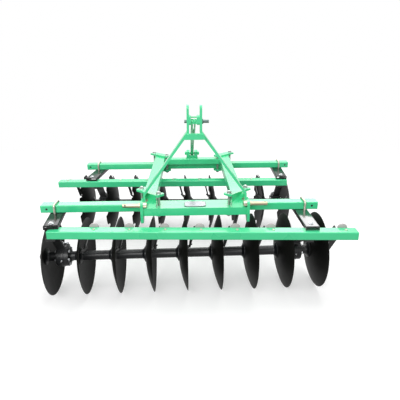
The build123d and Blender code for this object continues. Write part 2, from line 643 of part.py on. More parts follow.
for name, gang, disc in SUPPORTS:
    _, x, y, yaw, hollow, _, _ = gang_rows[gang]
    place = rim_place(disc) + hollow * HOUSING_OFFSET
    centre = Vector(x + place * cos(radians(yaw)), y + place * sin(radians(yaw)), AXLE_Z)
    with BuildPart() as bearing:
        with BuildSketch(end_plane(centre.X, centre.Y, AXLE_Z, yaw)):
            Circle(HOUSING_RADIUS)
            with Locations((0, (HOUSING_TOP - AXLE_Z) / 2)):
                Rectangle(2 * HANGER_FOOT_HALF, HOUSING_TOP - AXLE_Z)
            Circle(JOURNAL_RADIUS + RUNNING_FIT, mode=Mode.SUBTRACT)
        extrude(amount=HOUSING_WIDTH / 2, both=True)
    save(bearing, f"bearing_{name}")

    under = beam_y_at(f"{gang}_gang_beam", centre.X)
    foot_top = HOUSING_TOP + HANGER_THICKNESS
    with BuildPart() as hanger:
        with BuildSketch(Plane.YZ.offset(centre.X)):
            with BuildLine():
                Polyline((under - HANGER_TOP_HALF, GANG_BEAM_Z), (under + HANGER_TOP_HALF, GANG_BEAM_Z),
                         (centre.Y - HANGER_FOOT_HALF + HANGER_STEP, foot_top),
                         (centre.Y + HANGER_FOOT_HALF, foot_top), (centre.Y + HANGER_FOOT_HALF, HOUSING_TOP),
                         (centre.Y - HANGER_FOOT_HALF, HOUSING_TOP),
                         (under + HANGER_TOP_HALF - HANGER_STEP, GANG_BEAM_Z - HANGER_THICKNESS),
                         (under - HANGER_TOP_HALF, GANG_BEAM_Z - HANGER_THICKNESS), close=True)
            make_face()
        extrude(amount=HANGER_WIDTH / 2, both=True)
    save(hanger, f"hanger_{name}")

# ---------------------------------------------------------------- scrapers
HOLDER_WIDTH = 64.0
HOLDER_THICKNESS = 10.0
HOLDER_BOTTOM = GANG_BEAM_Z + 6.0
HOLDER_ROUND = 14.0
SHANK_WIDTH = 44.0
SHANK_THICKNESS = 10.0
SHANK_HEAD = 30.0
SHANK_HEAD_BACK = 26.0
SHANK_FOOT = 16.0
SHANK_FOOT_Z = 335.0
BLADE_WIDTH = 40.0
BLADE_THICKNESS = 6.0
BLADE_REACH = 24.0
BLADE_Z = 290.0
BLADE_BACK = 80.0

# gang: holder's offset from the first disc's rim, change from disc to disc, top of the holder
HOLDERS = {
    "front": (91.7, -4.7, ARM_Z + 27.0),
    "rear": (75.0, 0.0, ARM_Z),
}

for name, x, y, yaw, hollow, carried, _ in GANGS:
    beam_name = f"{name}_gang_beam"
    _, beam_x, beam_y, _, beam_yaw, _, _ = beam_rows[beam_name]
    first_offset, change, holder_top = HOLDERS[name]
    with BuildPart() as scrapers:
        for index in range(DISC_COUNT):
            if index in carried:
                continue
            rim = Vector(x, y) + Vector(cos(radians(yaw)), sin(radians(yaw))) * rim_place(index)
            holder_x = rim.X + hollow * (first_offset + change * index)
            face_y = beam_y_at(beam_name, holder_x) + HALF_DEPTH / cos(radians(beam_yaw))
            along = Vector(cos(radians(beam_yaw)), sin(radians(beam_yaw)), 0)
            outward = Vector(-along.Y, along.X, 0)
            with BuildSketch(Plane(origin=(holder_x, face_y, 0), x_dir=-along, z_dir=outward)) as holder:
                with Locations((0, (HOLDER_BOTTOM + holder_top) / 2)):
                    Rectangle(HOLDER_WIDTH, holder_top - HOLDER_BOTTOM)
                chamfer(holder.vertices().group_by(Axis.Z)[-1], HOLDER_ROUND)
            extrude(amount=HOLDER_THICKNESS)
            head = Vector(holder_x - hollow * SHANK_HEAD, face_y + SHANK_HEAD_BACK, HOLDER_BOTTOM + 20.0)
            foot = Vector(rim.X + hollow * SHANK_FOOT, rim.Y - BLADE_BACK - 30.0, SHANK_FOOT_Z)
            down = foot - head
            with BuildSketch(Plane(origin=head, x_dir=(down.Z, 0, -down.X), z_dir=down)):
                Rectangle(SHANK_THICKNESS, SHANK_WIDTH)
            extrude(amount=down.length)
            tip = Vector(rim.X - hollow * BLADE_REACH, rim.Y - BLADE_BACK, BLADE_Z)
            inward = tip - foot
            across = Vector(0, 1, 0) - inward * (inward.Y / inward.length**2)
            with BuildSketch(Plane(origin=foot, x_dir=across, z_dir=inward)):
                Rectangle(BLADE_WIDTH, BLADE_THICKNESS)
            extrude(amount=inward.length)
    save(scrapers, f"{name}_scrapers")
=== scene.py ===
"""Looks of a mounted disc harrow with two gangs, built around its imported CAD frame."""
import json
import logging
import math
from dataclasses import dataclass
from enum import Enum
from typing import Iterable, Sequence

import bmesh
import bpy
from mathutils import Matrix, Vector
from mathutils.noise import noise


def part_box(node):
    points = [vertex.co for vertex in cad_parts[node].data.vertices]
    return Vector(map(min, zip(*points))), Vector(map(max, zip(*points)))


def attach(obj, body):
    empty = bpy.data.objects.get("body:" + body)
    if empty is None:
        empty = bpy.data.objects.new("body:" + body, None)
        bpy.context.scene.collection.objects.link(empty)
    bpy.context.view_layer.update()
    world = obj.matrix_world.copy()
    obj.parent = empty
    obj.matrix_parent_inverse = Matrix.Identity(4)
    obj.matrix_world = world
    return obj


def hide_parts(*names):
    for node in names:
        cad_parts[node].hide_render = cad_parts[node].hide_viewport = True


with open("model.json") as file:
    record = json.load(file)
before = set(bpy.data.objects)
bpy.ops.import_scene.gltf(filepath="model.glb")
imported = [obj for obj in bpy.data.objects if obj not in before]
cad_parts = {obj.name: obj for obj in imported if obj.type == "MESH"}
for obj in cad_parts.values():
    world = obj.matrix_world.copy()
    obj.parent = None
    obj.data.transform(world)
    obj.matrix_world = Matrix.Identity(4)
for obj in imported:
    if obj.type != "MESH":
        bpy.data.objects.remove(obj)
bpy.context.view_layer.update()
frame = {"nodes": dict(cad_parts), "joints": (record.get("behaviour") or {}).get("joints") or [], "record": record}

UP = Vector((0.0, 0.0, 1.0))
ALONG_X = Vector((1.0, 0.0, 0.0))
ALONG_Y = Vector((0.0, 1.0, 0.0))
SIDES = (("left", 1), ("right", -1))
CORNERS = ("front_left", "front_right", "rear_left", "rear_right")
CROWN = 0.0012
WASHER = 0.0022

Pair = tuple[float, float]
Triple = tuple[float, float, float]
Color = Triple
Outline = Sequence[Pair]
Socket = bpy.types.NodeSocket
Verts = Iterable[bmesh.types.BMVert]

log = logging.getLogger("harrow")


# ------------------------------------------------------------------ shader graphs
class Graph:
    """A shader node tree being wired, with short calls for its nodes and links."""

    def __init__(self, tree: bpy.types.NodeTree) -> None:
        """Keep the tree of a material, a world or a node group."""
        self.tree = tree

    def feed(self, socket: Socket, value: Socket | Color | float) -> None:
        """Link or set an input socket.

        Args:
            socket: The input.
            value: The output socket, the colour or the number that it takes.
        """
        if isinstance(value, Socket):
            self.tree.links.new(value, socket)
        else:
            socket.default_value = (*value, 1.0) if isinstance(value, tuple) else value

    def node(self, kind: str, inputs: dict | None = None, **settings: object) -> bpy.types.Node:
        """Add a node.

        Args:
            kind: The node's type name, such as ShaderNodeMath.
            inputs: Socket name or number to what it takes.
            settings: Plain settings of the node, such as operation.

        Returns:
            The new node.
        """
        new = self.tree.nodes.new(kind)
        for name, value in settings.items():
            setattr(new, name, value)
        for name, value in (inputs or {}).items():
            self.feed(new.inputs[name], value)
        return new

    def math(self, operation: str, first: Socket | float, second: Socket | float, clamp: bool = False) -> Socket:
        """Add a Math node, held between 0 and 1 where clamp is set, and return its result."""
        return self.node("ShaderNodeMath", {0: first, 1: second}, operation=operation, use_clamp=clamp).outputs[0]

    def mix(self, factor: Socket, first: Socket | Color, second: Socket | Color) -> Socket:
        """Mix two colours and return the mixed one."""
        return self.node("ShaderNodeMix", {"Factor": factor, 6: first, 7: second}, data_type="RGBA").outputs[2]

    def noise(self, place: Socket, scale: Socket | float, detail: float) -> Socket:
        """Add noise with so many grains a metre and octaves of detail, and return its value."""
        return self.node("ShaderNodeTexNoise", {"Vector": place, "Scale": scale, "Detail": detail}).outputs["Fac"]

    def ramp(self, value: Socket, low: float, high: float) -> Socket:
        """Map a value smoothly from low..high to 0..1."""
        inputs = {"Value": value, "From Min": low, "From Max": high}
        return self.node("ShaderNodeMapRange", inputs, interpolation_type="SMOOTHSTEP").outputs["Result"]


class Effects:
    """The node groups that several finishes share, each built once."""

    def __init__(self) -> None:
        """Build the groups."""
        self.groups: dict[str, bpy.types.NodeTree] = {}
        self.build_edge_wear()
        self.build_paint_film()
        self.build_cast_grain()

    def begin(self, name: str, inputs: dict[str, float], outputs: Iterable[str]) -> tuple[Graph, dict, dict]:
        """Start a shader node group with named value sockets and a place input.

        Args:
            name: Name of the group.
            inputs: Name and default of each number that goes in.
            outputs: Name of each number that comes out.

        Returns:
            The group's graph, its input sockets by name and its output sockets by name.
        """
        tree = self.groups[name] = bpy.data.node_groups.new(name, "ShaderNodeTree")
        tree.interface.new_socket("Place", in_out="INPUT", socket_type="NodeSocketVector")
        for socket, default in inputs.items():
            tree.interface.new_socket(socket, in_out="INPUT", socket_type="NodeSocketFloat").default_value = default
        for socket in outputs:
            tree.interface.new_socket(socket, in_out="OUTPUT", socket_type="NodeSocketFloat")
        graph = Graph(tree)
        start = graph.node("NodeGroupInput")
        end = graph.node("NodeGroupOutput")
        return graph, {s.name: s for s in start.outputs if s.name}, {s.name: s for s in end.inputs if s.name}

    def build_edge_wear(self) -> None:
        """Build the group that finds worn edges: bent normals near an edge, broken up by noise."""
        graph, start, end = self.begin("edge_wear", {"Reach": 0.003, "Amount": 1.0, "Break Up": 90.0}, ["Mask"])
        bent = graph.node("ShaderNodeBevel", {"Radius": start["Reach"]}, samples=4).outputs["Normal"]
        straight = graph.node("ShaderNodeNewGeometry").outputs["Normal"]
        same = graph.node("ShaderNodeVectorMath", {0: bent, 1: straight}, operation="DOT_PRODUCT").outputs["Value"]
        bend = graph.ramp(graph.math("SUBTRACT", 1.0, same), 0.02, 0.2)
        patches = graph.ramp(graph.noise(start["Place"], start["Break Up"], 4.0), 0.42, 0.66)
        worn = graph.math("MULTIPLY", bend, patches)
        graph.feed(end["Mask"], graph.math("MULTIPLY", worn, start["Amount"], clamp=True))

    def build_paint_film(self) -> None:
        """Build the group for a sprayed film: fine orange peel, slow waves and cloudy shade."""
        graph, start, end = self.begin("paint_film", {"Peel": 420.0, "Cloud": 5.0}, ["Height", "Shade"])
        peel = graph.math("MULTIPLY", graph.noise(start["Place"], start["Peel"], 2.0), 0.35)
        waves = graph.math("MULTIPLY", graph.noise(start["Place"], 34.0, 2.0), 0.65)
        graph.feed(end["Height"], graph.math("ADD", peel, waves))
        graph.feed(end["Shade"], graph.ramp(graph.noise(start["Place"], start["Cloud"], 3.0), 0.3, 0.7))

    def build_cast_grain(self) -> None:
        """Build the group for cast and forged surfaces: pits over coarse grain."""
        graph, start, end = self.begin("cast_grain", {"Grain": 260.0}, ["Height", "Pits"])
        grain = graph.noise(start["Place"], start["Grain"], 5.0)
        cells = graph.node("ShaderNodeTexVoronoi", {"Vector": start["Place"], "Scale": 150.0})
        pits = graph.ramp(cells.outputs["Distance"], 0.32, 0.05)
        graph.feed(end["Height"], graph.math("SUBTRACT", grain, graph.math("MULTIPLY", pits, 0.3)))
        graph.feed(end["Pits"], pits)

    def use(self, graph: Graph, name: str, place: Socket, **values: float) -> bpy.types.Node:
        """Place a group in a material.

        Args:
            graph: The material's graph.
            name: Name of the group.
            place: The Object coordinates socket.
            values: The material's own values, by socket name.

        Returns:
            The group's node.
        """
        node = graph.node("ShaderNodeGroup", node_tree=self.groups[name])
        for socket, value in {"Place": place, **values}.items():
            graph.feed(node.inputs[socket], value)
        return node


class Surface(Enum):
    """What a finish is laid on, which settles its relief."""

    SPRAYED = "sprayed"
    CAST = "cast"
    PLATED = "plated"


@dataclass(frozen=True)
class Finish:
    """A procedural finish, with the numbers that set it apart from the others."""

    name: str
    surface: Surface
    color: Color
    shade: Color
    bare: Color
    roughness: float
    metallic: float = 0.0
    coat: float = 0.0
    coat_ior: float = 1.5
    specular: float = 0.5
    wear: float = 0.0
    wear_reach: float = 0.003
    relief: float = 0.1

    def build(self, effects: Effects) -> bpy.types.Material:
        """Make the material.

        Args:
            effects: The shared node groups.

        Returns:
            The finished material.
        """
        material = bpy.data.materials.new(self.name)
        material.use_nodes = True
        graph = Graph(material.node_tree)
        shader = material.node_tree.nodes["Principled BSDF"]
        place = graph.node("ShaderNodeTexCoord").outputs["Object"]
        film = effects.use(graph, "paint_film", place)
        color = graph.mix(film.outputs["Shade"], self.color, self.shade)
        height = film.outputs["Height"]
        rough = graph.math("ADD", self.roughness - 0.04, graph.math("MULTIPLY", film.outputs["Shade"], 0.08))
        if self.surface is Surface.CAST:
            cast = effects.use(graph, "cast_grain", place)
            height = cast.outputs["Height"]
            dark = tuple(0.55 * channel for channel in self.color)
            color = graph.mix(graph.math("MULTIPLY", cast.outputs["Pits"], 0.6), color, dark)
        if self.surface is Surface.PLATED:
            blotch = graph.ramp(graph.noise(place, 60.0, 4.0), 0.35, 0.7)
            color = graph.mix(blotch, color, self.bare)
            rough = graph.math("ADD", rough, graph.math("MULTIPLY", blotch, 0.1))
        if self.wear:
            wear = effects.use(graph, "edge_wear", place, Amount=self.wear, Reach=self.wear_reach)
            color = graph.mix(wear.outputs["Mask"], color, self.bare)
        bump = graph.node("ShaderNodeBump", {"Height": height, "Strength": self.relief, "Distance": 0.002})
        sockets = {"Base Color": color, "Roughness": rough, "Normal": bump.outputs["Normal"],
                   "Metallic": self.metallic, "Coat Weight": self.coat, "Coat Roughness": 0.12,
                   "Coat IOR": self.coat_ior, "Specular IOR Level": self.specular}
        for name, value in sockets.items():
            graph.feed(shader.inputs[name], value)
        return material


FINISHES = {
    "green_paint": Finish("mint_green_paint", Surface.SPRAYED, (0.051, 0.65, 0.285), (0.059, 0.69, 0.31),
                          (0.28, 0.74, 0.48), 0.30, coat=0.5, wear=0.45, relief=0.08),
    "black_paint": Finish("satin_black_paint", Surface.SPRAYED, (0.009, 0.010, 0.010), (0.014, 0.015, 0.015),
                          (0.10, 0.10, 0.10), 0.34, coat=0.2, wear=0.4, relief=0.12),
    "gloss_black": Finish("gloss_black_paint", Surface.SPRAYED, (0.006, 0.007, 0.007), (0.009, 0.010, 0.010),
                          (0.06, 0.06, 0.06), 0.14, coat=1.0, coat_ior=1.72, wear=0.25, relief=0.03),
    "arm_black": Finish("arm_black_paint", Surface.SPRAYED, (0.006, 0.007, 0.007), (0.009, 0.010, 0.010),
                        (0.06, 0.06, 0.06), 0.18, specular=0.22, wear=0.2, relief=0.03),
    "disc_black": Finish("disc_black_paint", Surface.SPRAYED, (0.0045, 0.0045, 0.004), (0.008, 0.008, 0.007),
                         (0.05, 0.05, 0.048), 0.46, specular=0.18, wear=0.4, wear_reach=0.002, relief=0.2),
    "cast_black": Finish("cast_black_paint", Surface.CAST, (0.006, 0.007, 0.008), (0.010, 0.011, 0.013),
                         (0.08, 0.08, 0.08), 0.33, coat=0.15, specular=0.4, wear=0.4, relief=0.3),
    "zinc": Finish("bright_zinc", Surface.PLATED, (0.72, 0.74, 0.75), (0.62, 0.64, 0.66),
                   (0.80, 0.81, 0.82), 0.3, metallic=1.0),
    "warm_zinc": Finish("warm_zinc", Surface.PLATED, (0.54, 0.53, 0.44), (0.47, 0.46, 0.38),
                        (0.62, 0.60, 0.52), 0.34, metallic=0.9),
    "dull_zinc": Finish("dull_zinc", Surface.PLATED, (0.36, 0.37, 0.35), (0.30, 0.31, 0.29),
                        (0.46, 0.46, 0.43), 0.38, metallic=0.9),
    "dark_steel": Finish("dark_steel", Surface.PLATED, (0.11, 0.16, 0.15), (0.09, 0.13, 0.12),
                         (0.16, 0.20, 0.19), 0.35, metallic=0.8),
    "yellow_zinc": Finish("yellow_zinc", Surface.PLATED, (0.50, 0.42, 0.26), (0.55, 0.48, 0.35),
                          (0.55, 0.45, 0.33), 0.28, metallic=1.0, relief=0.06),
    # Painted reflection: the scraper holders are black paint, coloured grey here for the white surroundings reflected
    # on their tilted tops.
    "painted_reflection_gray": Finish("painted_reflection_gray_paint", Surface.SPRAYED, (0.42, 0.35, 0.37), (0.48, 0.41, 0.43),
                         (0.50, 0.50, 0.50), 0.36, coat=0.1, wear=0.4, relief=0.15),
    "plate": Finish("bare_plate", Surface.SPRAYED, (0.36, 0.38, 0.41), (0.41, 0.43, 0.46),
                    (0.32, 0.33, 0.34), 0.28, metallic=0.6, wear=0.9, wear_reach=0.0015, relief=0.05),
}


# ------------------------------------------------------------------ mesh tools
def facing(origin: Vector, normal: Vector, across: Vector = UP) -> Matrix:
    """Make a placing matrix whose local Z is a direction.

    Args:
        origin: Where local zero goes.
        normal: Where local Z points.
        across: A direction that local Y leans towards.

    Returns:
        The matrix.
    """
    z_axis = normal.normalized()
    guide = across if abs(across.normalized().dot(z_axis)) < 0.95 else ALONG_Y
    if abs(guide.normalized().dot(z_axis)) > 0.95:
        guide = ALONG_X
    x_axis = guide.cross(z_axis).normalized()
    matrix = Matrix((x_axis, z_axis.cross(x_axis), z_axis)).transposed().to_4x4()
    matrix.translation = origin
    return matrix


def shift(x: float, y: float, z: float) -> Matrix:
    """Make a matrix that only moves."""
    return Matrix.Translation((x, y, z))


def middle(name: str) -> Vector:
    """Find the middle of a CAD node's box."""
    low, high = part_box(name)
    return (low + high) / 2


def arc(x: float, y: float, radius: float, start: float, stop: float, steps: int) -> list[Pair]:
    """Lay points along an arc.

    Args:
        x: Its centre's first place.
        y: Its centre's second place.
        radius: Its radius.
        start: Angle of its first point, in degrees.
        stop: Angle of its last point, in degrees.
        steps: Steps from the first to the last.

    Returns:
        The points, both ends included.
    """
    turns = [math.radians(start + (stop - start) * step / steps) for step in range(steps + 1)]
    return [(x + radius * math.cos(turn), y + radius * math.sin(turn)) for turn in turns]


@dataclass(frozen=True)
class Bolt:
    """A hexagon bolt head or nut: its width across flats, its height over its seat and its washer's radius."""

    flats: float
    height: float
    washer: float = 0.0


class Shape:
    """A piece being modelled in one bmesh."""

    def __init__(self) -> None:
        """Start with an empty mesh."""
        self.mesh = bmesh.new()

    def move(self, verts: Verts, matrix: Matrix) -> None:
        """Move new vertices from local places to where they belong."""
        bmesh.ops.transform(self.mesh, matrix=matrix, verts=list(verts))

    def turn_out(self, verts: Verts) -> None:
        """Turn the faces round some vertices outwards."""
        bmesh.ops.recalc_face_normals(self.mesh, faces=list({f for v in verts for f in v.link_faces}))

    def bevel(self, edges: Iterable[bmesh.types.BMEdge], width: float, segments: int) -> None:
        """Bevel edges by a width."""
        bmesh.ops.bevel(self.mesh, geom=list(edges), offset=width, offset_type="OFFSET", segments=segments,
                        profile=0.5, affect="EDGES", material=-1, clamp_overlap=True)

    def cylinder(self, matrix: Matrix, radius: float, length: float, steps: int = 24,
                 chamfer: float = 0.0, tip: float | None = None) -> None:
        """Add a cylinder or a cone from local zero along local Z.

        Args:
            matrix: Where it goes.
            radius: Radius at local zero.
            length: How far it reaches along local Z.
            steps: Sides of the circle.
            chamfer: Width of the bevel round both ends.
            tip: Radius at the far end, where it differs.
        """
        far = radius if tip is None else tip
        new = bmesh.ops.create_cone(self.mesh, cap_ends=True, segments=steps, radius1=radius, radius2=far,
                                    depth=length, matrix=shift(0, 0, length / 2))
        verts = set(new["verts"])
        if chamfer:
            edges = {e for v in verts for e in v.link_edges if abs(e.verts[0].co.z - e.verts[1].co.z) < 1e-7}
            before = set(self.mesh.verts)
            self.bevel(edges, chamfer, 1)
            verts = {v for v in verts if v.is_valid} | (set(self.mesh.verts) - before)
        self.move(verts, matrix)

    def prism(self, matrix: Matrix, outline: Outline, depth: float, bevel: float = 0.0, segments: int = 2) -> None:
        """Add a flat outline in local XY, pulled along local Z.

        Args:
            matrix: Where it goes.
            outline: Corner places in local X and Y.
            depth: How far it is pulled.
            bevel: Width of the bevel on all its edges.
            segments: Steps across the bevel.
        """
        before = set(self.mesh.verts)
        face = self.mesh.faces.new([self.mesh.verts.new((x, y, 0.0)) for x, y in outline])
        pulled = bmesh.ops.extrude_face_region(self.mesh, geom=[face])
        moved = [g for g in pulled["geom"] if isinstance(g, bmesh.types.BMVert)]
        bmesh.ops.translate(self.mesh, vec=(0, 0, depth), verts=moved)
        verts = set(self.mesh.verts) - before
        if bevel:
            self.bevel({e for v in verts for e in v.link_edges}, bevel, segments)
            verts = set(self.mesh.verts) - before
        self.turn_out(verts)
        self.move(verts, matrix)

    def block(self, matrix: Matrix, size: Triple, bevel: float = 0.0) -> None:
        """Add a block centred on local XY that rises along local Z."""
        x, y = size[0] / 2, size[1] / 2
        self.prism(matrix, [(-x, -y), (x, -y), (x, y), (-x, y)], size[2], bevel)

    def hull(self, corners: Iterable[Vector]) -> None:
        """Add the convex solid round some places."""
        bmesh.ops.convex_hull(self.mesh, input=[self.mesh.verts.new(corner) for corner in corners])

    def lathe(self, matrix: Matrix, profile: Outline, steps: int, closed: bool = False) -> Verts:
        """Turn a profile round local Z.

        Args:
            matrix: Where it goes.
            profile: Radius and height of each point, in order.
            steps: Sides of the full turn.
            closed: Whether the profile's ends join, as on a ring.

        Returns:
            The new vertices.
        """
        before = set(self.mesh.verts)
        points = [self.mesh.verts.new((radius, 0.0, height)) for radius, height in profile]
        pairs = list(zip(points, points[1:])) + ([(points[-1], points[0])] if closed else [])
        edges = [self.mesh.edges.new(pair) for pair in pairs]
        bmesh.ops.spin(self.mesh, geom=points + edges, axis=(0, 0, 1), cent=(0, 0, 0), angle=math.tau,
                       steps=steps, use_merge=True, use_duplicate=False)
        bmesh.ops.remove_doubles(self.mesh, verts=list(set(self.mesh.verts) - before), dist=1e-6)
        verts = list(set(self.mesh.verts) - before)
        self.turn_out(verts)
        self.move(verts, matrix)
        return verts

    def hex_head(self, matrix: Matrix, bolt: Bolt) -> None:
        """Add a hexagon bolt head or nut with a crowned top, on its washer where it has one.

        Args:
            matrix: Where its seat goes, with local Z pointing out.
            bolt: Its sizes.
        """
        seat = WASHER if bolt.washer else 0.0
        if bolt.washer:
            self.cylinder(matrix, bolt.washer, seat, 24, 0.0004)
        side = bolt.height - seat - CROWN
        self.cylinder(matrix @ shift(0, 0, seat), bolt.flats / math.sqrt(3), side, 6, 0.0003)
        self.cylinder(matrix @ shift(0, 0, seat + side), bolt.flats / 2, CROWN, 18, tip=bolt.flats * 0.44)

    def rod(self, radius: float, path: Sequence[Vector], bend: float) -> None:
        """Add a round rod that follows a path with rounded corners.

        Args:
            radius: Radius of the rod.
            path: Its corner points, ends included.
            bend: Radius of the rod's centre line round a corner.
        """
        before = set(self.mesh.verts)
        direction = (path[1] - path[0]).normalized()
        ring = bmesh.ops.create_circle(self.mesh, segments=14, radius=radius, cap_ends=True,
                                       matrix=facing(path[0], direction))
        edges = list({e for v in ring["verts"] for e in v.link_edges})
        here = path[0]
        for index in range(1, len(path)):
            last = index == len(path) - 1
            onward = None if last else (path[index + 1] - path[index]).normalized()
            half = 0.0 if last else direction.angle(onward) / 2
            stop = path[index] - direction * (bend * math.tan(half))
            pulled = bmesh.ops.extrude_edge_only(self.mesh, edges=edges)
            moved = [g for g in pulled["geom"] if isinstance(g, bmesh.types.BMVert)]
            bmesh.ops.translate(self.mesh, vec=stop - here, verts=moved)
            edges = [g for g in pulled["geom"] if isinstance(g, bmesh.types.BMEdge)
                     and all(v in moved for v in g.verts)]
            if last:
                break
            axis = direction.cross(onward).normalized()
            centre = stop + axis.cross(direction) * bend
            spun = bmesh.ops.spin(self.mesh, geom=edges, cent=centre, axis=axis, angle=2 * half, steps=6,
                                  use_duplicate=False)
            edges = [g for g in spun["geom_last"] if isinstance(g, bmesh.types.BMEdge)]
            here = path[index] + onward * (bend * math.tan(half))
            direction = onward
        bmesh.ops.contextual_create(self.mesh, geom=edges)
        self.turn_out(set(self.mesh.verts) - before)

    def weld(self, start: Vector, stop: Vector, radius: float) -> None:
        """Add a weld bead with ripples from one point to another.

        Args:
            start: Where the bead begins.
            stop: Where it ends.
            radius: Radius of the bead.
        """
        run = stop - start
        ripples = max(3, round(run.length / (radius * 1.1)))
        profile = [(0.0, 0.0)]
        for index in range(ripples):
            height = run.length * (index + 0.5) / ripples
            swell = radius * (1.0 + 0.16 * noise(Vector((height * 90.0, start.x * 30.0, start.y * 30.0))))
            profile += [(swell * 0.86, height - run.length * 0.34 / ripples), (swell, height)]
        self.lathe(facing(start, run), profile + [(0.0, run.length)], 10)


@dataclass(kw_only=True)
class Assembly:
    """A sub-assembly, which dresses its pieces in the built finishes."""

    finishes: dict[str, bpy.types.Material]

    def dress(self, shape: Shape, name: str, finish: str, slot: str, body: str = "root",
              stands_for: str = "", smooth_angle: float = 35.0) -> None:
        """Make a piece's object, dress it and let it ride on its body.

        Args:
            shape: The modelled piece.
            name: Name of the piece.
            finish: Name of its finish.
            slot: The record's material slot; not used.
            body: The body it rides on.
            stands_for: The CAD node that it replaces, where there is one.
            smooth_angle: Edges sharper than this stay sharp, in degrees.
        """
        data = bpy.data.meshes.new(name)
        for face in shape.mesh.faces:
            face.smooth = True
        shape.mesh.to_mesh(data)
        shape.mesh.free()
        data.set_sharp_from_angle(angle=math.radians(smooth_angle))
        data.materials.append(self.finishes[finish])
        piece = bpy.data.objects.new(name, data)
        bpy.context.scene.collection.objects.link(piece)
        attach(piece, body)
        if stands_for:
            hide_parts(stands_for)
        log.info("%s: %d faces on %s", name, len(data.polygons), body)


# ------------------------------------------------------------------ the gangs
@dataclass(frozen=True)
class Disc:
    """Sizes of one dished disc."""

    radius: float = 0.230
    thickness: float = 0.003
    dish: float = 0.050
    flat: float = 0.055
    bore: float = 0.0215
    edge: float = 0.009
    ground: float = 0.0018
    rings: int = 9

    def lift(self, radius: float) -> float:
        """Find the height of the dish above its flat centre.

        Args:
            radius: Distance from the disc's middle.

        Returns:
            The height of the round side there.
        """
        if radius <= self.flat:
            return 0.0
        rise = self.dish - self.thickness
        centre = ((self.radius**2 - self.flat**2) / rise + rise) / 2
        return centre - math.sqrt(centre**2 + self.flat**2 - radius**2)

    def profile(self) -> list[Pair]:
        """Lay out the closed profile.

        Returns:
            Radius and height of each point, up the round side, over the ground edge and back down the hollow.
        """
        step = (self.radius - self.edge - self.flat) / self.rings
        radii = [self.bore] + [self.flat + step * index for index in range(self.rings + 1)]
        rim = [(self.radius, self.lift(self.radius) + height) for height in (self.ground, self.thickness)]
        inside = [(radius, self.lift(radius) + self.thickness) for radius in reversed(radii)]
        return [(radius, self.lift(radius)) for radius in radii] + rim + inside


